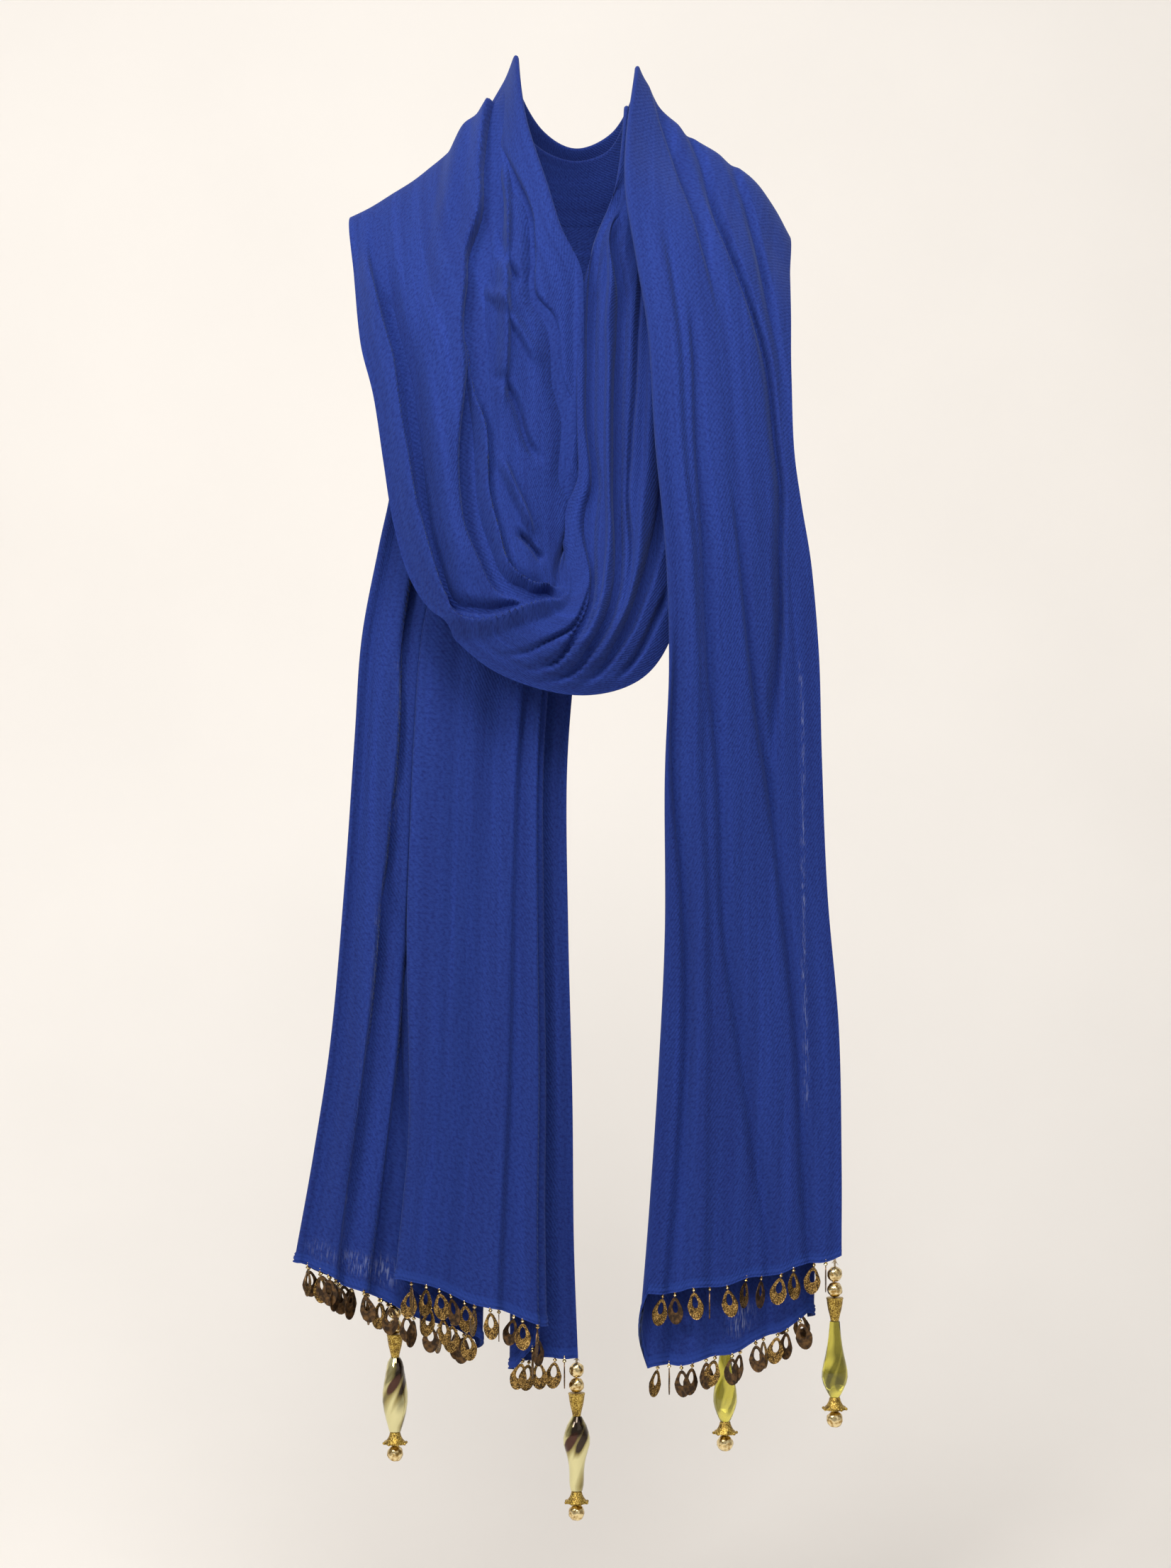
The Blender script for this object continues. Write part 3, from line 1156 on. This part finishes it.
@dataclass(frozen=True)
class Drawn:
    """A closed bead, bail or knot, drawn down ring by ring from a disc.

    Attributes:
        rings: A row for each ring, top first: its depth under the top, its width, its depth from front to back, all
            in millimetres, and its turn in degrees.
        sides: Number of sides.
        smooth_to: Edges flatter than this look round, in degrees.
    """

    rings: Rings
    sides: int = 32
    smooth_to: float = 50

    def build(self, name: str) -> bpy.types.Object:
        """Builds the piece with its top at the origin, and keeps its untwisted coordinates as an attribute.

        Args:
            name: Its name.

        Returns:
            The piece.
        """
        deselect_all()
        _, wide, deep, turn = self.rings[0]
        bpy.ops.mesh.primitive_circle_add(vertices=self.sides, radius=MM / 2, fill_type="NGON", enter_editmode=True)
        obj = bpy.context.object
        obj.name = obj.data.name = name
        bpy.ops.transform.resize(value=(wide, deep, 1), center_override=(0, 0, 0))
        bpy.ops.transform.rotate(value=math.radians(turn), orient_axis="Z", center_override=(0, 0, 0))
        for (z0, w0, d0, t0), (z1, w1, d1, t1) in zip(self.rings, self.rings[1:]):
            centre = (0, 0, -z1 * MM)
            bpy.ops.mesh.extrude_region_move(TRANSFORM_OT_translate={"value": (0, 0, (z0 - z1) * MM)})
            bpy.ops.transform.rotate(value=-math.radians(t0), orient_axis="Z", center_override=centre)
            bpy.ops.transform.resize(value=(w1 / w0, d1 / d0, 1), center_override=centre)
            bpy.ops.transform.rotate(value=math.radians(t1), orient_axis="Z", center_override=centre)
        bpy.ops.mesh.select_all(action="SELECT")
        bpy.ops.mesh.normals_make_consistent(inside=False)
        bpy.ops.object.mode_set(mode="OBJECT")
        bpy.ops.object.shade_smooth_by_angle(angle=math.radians(self.smooth_to))
        self.keep_untwisted(obj)
        return obj

    def keep_untwisted(self, obj: bpy.types.Object) -> None:
        """Writes each point's place as it would be without the twist.

        Args:
            obj: The twisted piece.
        """
        points = np.empty(len(obj.data.vertices) * 3)
        obj.data.vertices.foreach_get("co", points)
        x, y, z = points.reshape(-1, 3).T
        rings = np.array(self.rings)
        angle = np.arctan2(y, x) + np.radians(np.interp(-z, rings[:, 0] * MM, rings[:, 3]))
        radius = np.hypot(x, y)
        flat = np.stack([radius * np.cos(angle), radius * np.sin(angle), z], axis=1)
        obj.data.attributes.new("untwisted", "FLOAT_VECTOR", "POINT").data.foreach_set("vector", flat.ravel())


def round_rings(width: float, steps: int, hole: float) -> Rings:
    """Gives the rings of a round bead.

    Args:
        width: Its width in millimetres.
        steps: Number of rings.
        hole: Width of the dimple at its two ends.

    Returns:
        Rows of depth, two widths and turn, with a sunk dimple at both ends.
    """
    start = math.asin(hole / width)
    angles = [start + (math.pi - 2 * start) * i / (steps - 1) for i in range(steps)]
    depths = [width / 2 * (1 - math.cos(angle)) for angle in angles]
    rings = [(depth, width * math.sin(angle), width * math.sin(angle), 0.0) for depth, angle in zip(depths, angles)]
    sunk = hole * 0.6
    ends = [(sunk, sunk, sunk, 0.0), (width - sunk, sunk, sunk, 0.0)]
    return (ends[0], *rings, ends[1])


@dataclass(frozen=True)
class HemDrops:
    """The flat egg-shaped metal drops along a hem, each on a bail of two small beads.

    Attributes:
        stretch: The stretch whose hem carries them.
        shown: Numbers of the hem's runs that hang in front, whose drops mostly show their grained side.
        pitch: Mean distance between drops along the hidden runs of the hem.
        shown_pitch: The same for the runs in front.
        trim: Bare hem at both ends of a run.
        plate: Width and height of a plate.
        thickness: Its thickness.
        hole: Width and height of the oval hole.
        hole_rise: How far the hole's middle lies above the plate's.
        rim: Width and height of the raised rim.
        bail: Length and width of the bail.
        sewn_in: How far the bail's neck goes up into the hem.
        overlap: How far the bail reaches down over the plate.
        narrowing: How much narrower each row of the plate's top is than the row below.
        uneven: How far a drop strays from its even place, as a share of the pitch.
        turns: How far one drop after another is turned off the hem, in degrees.
        swings: How far one after another hangs aside, in degrees.
        odd_one: One drop in this many shows its other side.
        phases: How fast the strays change from run to run and from drop to drop.
        starts: How far into the turns and the swings each run starts.
    """

    stretch: Stretch
    shown: tuple[int, ...]
    pitch: float = 9.6
    shown_pitch: float = 10.2
    trim: float = 3.5
    plate: tuple[float, float] = (12.2, 19.4)
    thickness: float = 0.7
    hole: tuple[float, float] = (5.2, 8.6)
    hole_rise: float = 2.9
    rim: tuple[float, float] = (0.7, 0.3)
    bail: tuple[float, float] = (5.4, 3.1)
    sewn_in: float = 2.6
    overlap: float = 2.1
    narrowing: float = 0.93
    uneven: float = 0.16
    turns: tuple[float, ...] = (12, -24, 38, -8, 80, 22, -48, 6, 30, -72, -15, 55, 3)
    swings: tuple[float, ...] = (4, -7, 2, 11, 0, -13, 6, -3, 9, -5, 14, -9)
    odd_one: int = 5
    phases: tuple[float, float] = (1.7, 2.9)
    starts: tuple[int, int] = (4, 5)

    def plate_pattern(self, front: bpy.types.Material, back: bpy.types.Material) -> bpy.types.Object:
        """Models one plate under the origin.

        Args:
            front: Finish of the grained side.
            back: Finish of the back and the edges.

        Returns:
            The plate.
        """
        deselect_all()
        sides = 20
        bpy.ops.mesh.primitive_circle_add(vertices=sides, radius=MM / 2, enter_editmode=True)
        obj = bpy.context.object
        bpy.ops.transform.resize(value=(self.plate[0], self.plate[1], 1), center_override=(0, 0, 0))
        bpy.ops.mesh.select_all(action="DESELECT")
        bpy.ops.mesh.primitive_circle_add(vertices=sides, radius=MM / 2)
        bpy.ops.transform.resize(value=(self.hole[0], self.hole[1], 1), center_override=(0, 0, 0))
        bpy.ops.transform.translate(value=(0, self.hole_rise * MM, 0))
        bpy.ops.mesh.select_all(action="SELECT")
        bpy.ops.mesh.bridge_edge_loops()
        bpy.ops.mesh.extrude_region_move(TRANSFORM_OT_translate={"value": (0, 0, self.thickness * MM)})
        bpy.ops.mesh.select_all(action="SELECT")
        bpy.ops.mesh.normals_make_consistent(inside=False)
        select_by(obj, lambda face: face.normal.z > 0.9, "FACE")
        bpy.ops.mesh.inset(thickness=self.rim[0] * MM, depth=-self.rim[1] * MM)
        bpy.ops.mesh.select_all(action="SELECT")
        bpy.ops.transform.translate(value=(0, 0, -self.thickness / 2 * MM))
        self.narrow_top(obj)
        bpy.ops.object.mode_set(mode="OBJECT")
        obj.data.materials.append(front)
        obj.data.materials.append(back)
        for face in obj.data.polygons:
            face.material_index = 0 if face.normal.z > 0.5 else 1
        drop = (self.bail[0] - self.overlap + self.plate[1] / 2) * MM
        obj.data.transform(Matrix.Translation((0, 0, -drop)) @ Matrix.Rotation(math.radians(90), 4, "X"))
        bpy.ops.object.shade_smooth_by_angle(angle=math.radians(40))
        return obj

    def narrow_top(self, obj: bpy.types.Object) -> None:
        """Narrows the plate's upper half, row by row, so that it becomes egg-shaped.

        Args:
            obj: The plate, in edit mode.
        """
        rows = 6
        for k in range(rows):
            level = self.plate[1] / 2 * MM * k / rows
            select_by(obj, lambda point: point.co.y > level, "VERT")
            bpy.ops.transform.resize(value=(self.narrowing, 1, 1), center_override=(0, 0, 0))

    def bail_pattern(self, gold: bpy.types.Material) -> bpy.types.Object:
        """Models one bail, two small beads on a neck that is sewn into the hem, around the origin.

        Args:
            gold: Its finish.

        Returns:
            The bail.
        """
        length, wide = self.bail
        neck = 0.9
        rings = [(0.0, neck), (1.4, neck), (1.7, wide * 0.75), (2.3, wide), (2.9, wide * 0.75), (3.3, neck * 1.2),
                 (3.7, wide * 0.8), (4.3, wide * 1.05), (4.9, wide * 0.8), (length / 2 + 3.0, neck)]
        obj = Drawn(tuple((depth, w, w, 0.0) for depth, w in rings), sides=8).build("bail")
        obj.data.transform(Matrix.Translation((0, 0, self.sewn_in * MM)))
        obj.data.materials.append(gold)
        return obj

    def build(self, front: bpy.types.Material, back: bpy.types.Material, gold: bpy.types.Material) -> None:
        """Hangs a row of drops on each run of the hem.

        Args:
            front: Finish of the plates' grained side.
            back: Finish of their back.
            gold: Finish of the bails.
        """
        plate, bail = self.plate_pattern(front, back), self.bail_pattern(gold)
        for number, line in enumerate(self.stretch.hem_lines(), 1):
            node = f"{self.stretch.node}_drops_{number}"
            spots = self.spots(line, number)
            plates = joined([copy_of(plate, "plate", spot) for spot in spots], node + "_plates")
            bails = joined([copy_of(bail, "bail", spot) for spot in spots], node + "_bails")
            for piece, slot in ((plates, "antique_gold"), (bails, "bright_gold")):
                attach(piece, ROOT)
                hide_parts(node)
            log.info("%s has %d drops", node, len(spots))
        bpy.data.objects.remove(plate)
        bpy.data.objects.remove(bail)

    def spots(self, line: np.ndarray, number: int) -> list[Matrix]:
        """Works out where the drops of one run hang.

        Args:
            line: The hem's edge in millimetres.
            number: The run's number.

        Returns:
            A placing for each drop.
        """
        far = np.concatenate([[0], np.cumsum(np.linalg.norm(np.diff(line, axis=0), axis=1))])
        length = far[-1] - 2 * self.trim
        count = max(1, round(length / (self.shown_pitch if number in self.shown else self.pitch)))
        places = []
        for k in range(count):
            stray = self.uneven * math.sin(number * self.phases[0] + k * self.phases[1])
            at = self.trim + length * (k + 0.5 + stray) / count
            point, ahead = ([np.interp(at + step, far, line[:, axis]) for axis in range(3)] for step in (0, 1))
            way = math.atan2(ahead[1] - point[1], ahead[0] - point[0])
            way += math.pi if abs(way) > math.pi / 2 else 0
            odd = (k + number) % self.odd_one
            flip = 180 if odd == 0 or (number not in self.shown and odd != 2) else 0
            turn = way + math.radians(self.turns[(k + self.starts[0] * number) % len(self.turns)] + flip)
            swing = math.radians(self.swings[(k + self.starts[1] * number) % len(self.swings)])
            place = Matrix.Translation(Vector(point) * MM)
            places.append(place @ Matrix.Rotation(turn, 4, "Z") @ Matrix.Rotation(swing, 4, "Y"))
        return places


class Glass(Enum):
    """The three shapes of long glass beads, as rows of depth, two widths and turn."""

    TWIST = ((0, 7.2, 7.2, 0), (3, 11.5, 10.5, 10), (6.5, 15.6, 14, 24), (11, 18.8, 16, 42), (15.5, 20.4, 16.4, 60),
             (20, 19.4, 15.6, 78), (25, 16.4, 14, 98), (30, 13.8, 12.4, 118), (35, 12.4, 11.2, 138),
             (40, 11.8, 10.8, 158), (45, 12, 10.8, 176), (49.5, 11.2, 10.2, 190), (53.5, 8.6, 8.6, 200))
    OVAL = ((0, 7.2, 7.2, 0), (3, 11.4, 10.6, 12), (6.5, 14.6, 12.6, 28), (12, 17.4, 14, 50), (18, 18.6, 14.6, 76),
            (25, 18.8, 14.6, 104), (32, 18.4, 14.4, 132), (39, 17.2, 14, 158), (44.5, 15.2, 13, 180),
            (49, 12, 11, 196), (53.5, 8.4, 8.4, 208))
    TEARDROP = ((0, 7.2, 7.2, 0), (4, 8, 7.8, 4), (10, 9.4, 8.8, 12), (17, 11.6, 10.6, 24), (24, 14.6, 13, 38),
                (30, 17.4, 15.4, 50), (35, 19.2, 16.8, 60), (39.5, 19.4, 17, 68), (44, 17, 15.2, 76),
                (48.5, 12.6, 11.8, 84), (51.5, 9.4, 9.2, 88), (53.5, 7.2, 7.2, 90))


@dataclass(frozen=True)
class PendantShapes:
    """The pieces of a corner's string of beads, each modelled once.

    Attributes:
        bead_width: Width of the two round beads in millimetres, as are all the lengths below.
        ball_width: Width of the ball at the end.
        crumple: Size of the crumples in the round beads.
        crumple_depth: Their depth.
        crumple_level: The level of the pattern that stays in place.
        lobes: Number of lobes of the cap's rim.
        lobe_depth: Width of the rim between lobes, as a share.
        tip_width: Width of the grain at the tip of a lobe.
        tip_depth: How far the grains lie under the cap's top.
        cone: Rings of the cone.
        cap: Rings of the cap.
        rim_ring: Number of the ring that is the cap's rim.
        knot: Rings of the knot, one millimetre high.
        knot_height: The height to which the knot is drawn out in the end.
        strand: Rings of a frayed strand.
        strands: Turn and tilt in degrees and length of each strand.
    """

    bead_width: float = 10.7
    ball_width: float = 11.6
    crumple: float = 3.4
    crumple_depth: float = 0.9
    crumple_level: float = 0.55
    lobes: int = 8
    lobe_depth: float = 0.86
    tip_width: float = 2.2
    tip_depth: float = 7.2
    cone: Rings = (
        (0, 10.6, 10.6, 0), (0.1, 12, 12, 0), (0.9, 12.2, 12.2, 0), (1.3, 11.6, 11.6, 0), (4.5, 10.9, 10.9, 0),
        (8.5, 9.5, 9.5, 0), (12.5, 7.5, 7.5, 0), (15.3, 6.2, 6.2, 0), (16.6, 6, 6, 0))
    cap: Rings = (
        (0, 6.6, 6.6, 0), (0.6, 7.6, 7.6, 0), (2.4, 8.4, 8.4, 0), (4.2, 10, 10, 0), (5.8, 12.2, 12.2, 0),
        (7.1, 14.8, 14.8, 0), (7.9, 16.8, 16.8, 0), (8.6, 16.8, 16.8, 0), (8.9, 14, 14, 0), (9.5, 9, 9, 0))
    rim_ring: int = 6
    knot: Rings = (
        (0, 0.6, 0.6, 0), (0.12, 1.3, 1.1, 30), (0.3, 2.2, 1.8, 70), (0.45, 1.4, 1.2, 110), (0.62, 2, 1.7, 160),
        (0.8, 1.2, 1.2, 200), (1, 1.6, 1.6, 240))
    knot_height: float = 4.0
    strand: Rings = ((0, 0.6, 0.5, 0), (0.5, 0.5, 0.4, 60), (1, 0.2, 0.2, 120))
    strands: tuple[tuple[float, float, float], ...] = (
        (10, 62, 2.6), (65, 38, 3.4), (120, 70, 2.0), (168, 48, 3.2), (215, 64, 2.4), (262, 34, 3.6), (318, 55, 2.5))

    def crumpled(self, width: float, name: str) -> bpy.types.Object:
        """Models a round bead of thin metal with soft crumples.

        Args:
            width: Its width in millimetres.
            name: Its name.

        Returns:
            The bead.
        """
        obj = Drawn(round_rings(width, steps=15, hole=2.0), sides=28).build(name)
        texture = bpy.data.textures.new("crumples", "VORONOI")
        texture.noise_scale = self.crumple * MM
        dents = obj.modifiers.new("crumples", "DISPLACE")
        dents.texture = texture
        dents.strength = -self.crumple_depth * MM
        dents.mid_level = self.crumple_level
        bpy.context.view_layer.objects.active = obj
        bpy.ops.object.modifier_apply(modifier=dents.name)
        heights = [point.co.z for point in obj.data.vertices]
        shift = -width / 2 * MM - (max(heights) + min(heights)) / 2
        obj.data.transform(Matrix.Translation((0, 0, shift)))
        return obj

    def petal_cap(self) -> bpy.types.Object:
        """Models the flared cap, with a scalloped rim and a small grain at the tip of each lobe.

        Returns:
            The cap.
        """
        rim = self.cap[self.rim_ring][1] / 2
        obj = Drawn(self.cap).build("cap")
        bpy.ops.object.mode_set(mode="EDIT")

        def between(point: bpy.types.MeshVertex) -> bool:
            """Says whether a point of the rim lies between two lobes."""
            angle = math.atan2(point.co.y, point.co.x) * self.lobes
            return math.hypot(point.co.x, point.co.y) > (rim - 0.4) * MM and math.cos(angle) < -0.5

        select_by(obj, between, "VERT")
        bpy.ops.transform.resize(value=(self.lobe_depth, self.lobe_depth, 1), center_override=(0, 0, 0))
        bpy.ops.object.mode_set(mode="OBJECT")
        tip = Drawn(round_rings(self.tip_width, steps=6, hole=0.4), sides=8).build("tip")
        pieces = [obj]
        for k in range(self.lobes):
            angle = 2 * math.pi * k / self.lobes
            out = (rim - 0.2) * MM
            place = Matrix.Translation((out * math.cos(angle), out * math.sin(angle), -self.tip_depth * MM))
            pieces.append(copy_of(tip, "tip", place))
        bpy.data.objects.remove(tip)
        return joined(pieces, "cap")

    def frayed_knot(self) -> bpy.types.Object:
        """Models the thread's knot, one millimetre high, with frayed ends that stand off it.

        Returns:
            The knot.
        """
        pieces = [Drawn(self.knot, sides=10).build("knot")]
        strand = Drawn(self.strand, sides=5).build("strand")
        flatter = Matrix.Diagonal((1, 1, 1 / self.knot_height, 1))
        for turn, tilt, reach in self.strands:
            aim = Matrix.Rotation(math.radians(turn), 4, "Z") @ Matrix.Rotation(math.radians(tilt), 4, "Y")
            place = Matrix.Translation((0, 0, -0.3 * MM)) @ flatter @ aim @ Matrix.Diagonal((1, 1, reach, 1))
            pieces.append(copy_of(strand, "strand", place))
        bpy.data.objects.remove(strand)
        return joined(pieces, "knot")


@dataclass(frozen=True)
class Pendant:
    """A string of beads at one corner of the cloth, in the places of the frame's nodes.

    Attributes:
        name: The corner's name.
        glass: Shape of the long bead.
        slot: The record's slot of the glass.
        turn: How far the string is turned round its thread, in degrees.
        step_turn: How far each piece is turned off the one above.
    """

    name: str
    glass: Glass
    slot: str
    turn: float
    step_turn: float = 67

    def build(self, patterns: dict[str, bpy.types.Object], finishes: dict[str, bpy.types.Material]) -> None:
        """Hangs the pieces one under the other.

        Args:
            patterns: The pieces by name, with their tops at the origin.
            finishes: The finishes by the record's slots.
        """
        body = f"pendant_{self.name}"
        slots = {"thread": "thread", "bead_1": "bright_gold", "bead_2": "bright_gold", "cone": "antique_gold",
                 "glass": self.slot, "cap": "antique_gold", "ball": "bright_gold"}
        for number, (piece, slot) in enumerate(slots.items()):
            node = f"{body}_{piece}"
            low, high = (Vector(corner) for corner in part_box(node))
            top = Vector(((low.x + high.x) / 2, (low.y + high.y) / 2, high.z))
            height = (high.z - low.z) / MM if piece == "thread" else 1.0
            pattern = patterns[self.glass.name if piece == "glass" else piece]
            turn = Matrix.Rotation(math.radians(self.turn + self.step_turn * number), 4, "Z")
            shape = turn @ Matrix.Diagonal((1, 1, height, 1))
            obj = copy_of(pattern, node + "_piece", Matrix.Translation(top) @ shape)
            obj.data.materials.append(finishes[slot])
            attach(obj, body)
            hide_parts(node)
        log.info("%s is strung", body)


PENDANTS = (
    Pendant("left_inner", Glass.TWIST, "mirror_glass", 0),
    Pendant("left_outer", Glass.OVAL, "mirror_glass", 40),
    Pendant("right_outer", Glass.TEARDROP, "olive_glass", 10),
    Pendant("right_inner", Glass.TEARDROP, "olive_glass", 75),
)


@dataclass(frozen=True)
class PhotoCamera:
    """A level camera in front of the scarf, far enough for the photo's flat look.

    Attributes:
        target_mm: The point in the middle of the picture.
        distance_mm: How far the camera stands from it.
        pixel_mm: Size of one of the photo's pixels at the target.
        picture_px: Height of the photo in pixels.
        sensor_mm: Size of the camera's sensor, which with the lens gives the viewing angle.
        far_m: How far the camera sees.
    """

    target_mm: tuple[float, float, float] = (7.4, 0.0, -463.5)
    distance_mm: float = 2450.0
    pixel_mm: float = 0.53
    picture_px: int = 2213
    sensor_mm: float = 36.0
    far_m: float = 50.0

    def build(self) -> None:
        """Adds the camera and makes it the scene's."""
        deselect_all()
        x, y, z = self.target_mm
        bpy.ops.object.camera_add(location=(x * MM, (y - self.distance_mm) * MM, z * MM),
                                  rotation=(math.radians(90), 0, 0))
        camera = bpy.context.object
        camera.name = "photo_camera"
        camera.data.sensor_width = self.sensor_mm
        camera.data.lens = self.sensor_mm * self.distance_mm / (self.pixel_mm * self.picture_px)
        camera.data.clip_end = self.far_m
        bpy.context.scene.camera = camera


@dataclass(frozen=True)
class Lamp:
    """A soft square lamp that looks at the scarf.

    Attributes:
        name: Its name.
        place: Where it stands, in metres.
        size: Length of its side in metres.
        watts: Its power.
        colour: Its colour.
    """

    name: str
    place: tuple[float, float, float]
    size: float
    watts: float
    colour: str


@dataclass(frozen=True)
class Studio:
    """Cream paper floor and wall in one sweep, lit softly from above and in front.

    Attributes:
        floor_z: Height of the floor in metres, as are all the sizes below.
        wall_y: Where the wall stands behind the scarf.
        half_width: Half the width of the sweep.
        front_y: Where the floor begins.
        top_z: Height of the wall's top.
        bend: Size of the bend between floor and wall.
        bend_steps: Number of its facets.
        lamps: The lamps.
        aim: The point that they look at, in the upper half of the scarf.
        sky: Colour of the soft light from all around.
        sky_strength: Its strength.
    """

    floor_z: float = -1.16
    wall_y: float = 1.3
    half_width: float = 7.0
    front_y: float = -9.0
    top_z: float = 4.2
    bend: float = 1.0
    bend_steps: int = 24
    lamps: tuple[Lamp, ...] = (
        Lamp("key_lamp", (-1.5, -1.7, 1.1), 0.9, 40, "fffdfb"),
        Lamp("fill_lamp", (1.9, -2.4, 0.9), 2.2, 8, "f8f9ff"),
        Lamp("top_lamp", (0.0, -1.0, 0.75), 0.7, 19, "fffefc"),
    )
    aim: tuple[float, float, float] = (0, -0.05, -0.35)
    sky: str = "f6f3ef"
    sky_strength: float = 0.46

    def build(self, paper: bpy.types.Material) -> None:
        """Builds the sweep, the lamps and the world.

        Args:
            paper: The sweep's material.
        """
        deselect_all()
        near = 0.01
        bpy.ops.mesh.primitive_plane_add(size=2, enter_editmode=True)
        bpy.ops.transform.resize(value=(self.half_width, (self.wall_y - self.front_y) / 2, 1))
        bpy.ops.transform.translate(value=(0, (self.wall_y + self.front_y) / 2, self.floor_z))
        sweep = bpy.context.object
        sweep.name = "paper_sweep"

        def low_behind(edge: bpy.types.MeshEdge) -> bool:
            """Says whether an edge lies where the floor meets the wall."""
            ends = [sweep.data.vertices[i].co for i in edge.vertices]
            return all(p.y > self.wall_y - near and p.z < self.floor_z + near for p in ends)

        select_by(sweep, low_behind, "EDGE")
        bpy.ops.mesh.extrude_region_move(TRANSFORM_OT_translate={"value": (0, 0, self.top_z - self.floor_z)})
        select_by(sweep, low_behind, "EDGE")
        bpy.ops.mesh.bevel(offset=self.bend, segments=self.bend_steps, affect="EDGES")
        bpy.ops.object.mode_set(mode="OBJECT")
        bpy.ops.object.shade_smooth()
        sweep.data.materials.append(paper)
        for lamp in self.lamps:
            self.add_lamp(lamp)
        bpy.context.scene.view_settings.view_transform = "Standard"
        world = bpy.data.worlds.new("studio_world")
        world.use_nodes = True
        set_up(world.node_tree, world.node_tree.nodes["Background"], Color=self.sky, Strength=self.sky_strength)
        bpy.context.scene.world = world

    def add_lamp(self, lamp: Lamp) -> None:
        """Adds one lamp.

        Args:
            lamp: What it is like.
        """
        aim = Vector(self.aim) - Vector(lamp.place)
        bpy.ops.object.light_add(type="AREA", location=lamp.place, rotation=aim.to_track_quat("-Z", "Y").to_euler())
        light = bpy.context.object
        light.name = lamp.name
        light.data.size = lamp.size
        light.data.energy = lamp.watts
        light.data.color = linear(lamp.colour)[:3]


def main() -> None:
    """Builds the whole scene in order."""
    PhotoCamera().build()
    Studio().build(StudioPaper().material())
    crepe = Crepe().material()
    for stretch in STRETCHES:
        piece = stretch.build(crepe)
        log.info("%s has %d faces", piece.name, len(piece.data.polygons))
    plate_front, cast = PLATE_BRASS.material(), CAST_BRASS.material()
    gold, bronze = POLISHED_GOLD.material(), DARK_BRONZE.material()
    HemDrops(STRETCHES[0], shown=(1, 3, 4)).build(plate_front, bronze, gold)
    HemDrops(STRETCHES[-1], shown=(1,), shown_pitch=12.6).build(plate_front, bronze, gold)
    shapes = PendantShapes()
    bead = shapes.crumpled(shapes.bead_width, "bead")
    patterns = {"thread": shapes.frayed_knot(), "bead_1": bead, "bead_2": bead, "cap": shapes.petal_cap(),
                "cone": Drawn(shapes.cone).build("cone"), "ball": shapes.crumpled(shapes.ball_width, "ball"),
                **{glass.name: Drawn(glass.value).build(glass.name.lower()) for glass in Glass}}
    finishes = {"thread": SewingThread().material(), "bright_gold": gold, "antique_gold": cast,
                "olive_glass": OliveGlass().material(), "mirror_glass": MirrorGlass().material()}
    for pendant in PENDANTS:
        pendant.build(patterns, finishes)
    for pattern in set(patterns.values()):
        bpy.data.objects.remove(pattern)


if __name__ == "__main__":
    main()
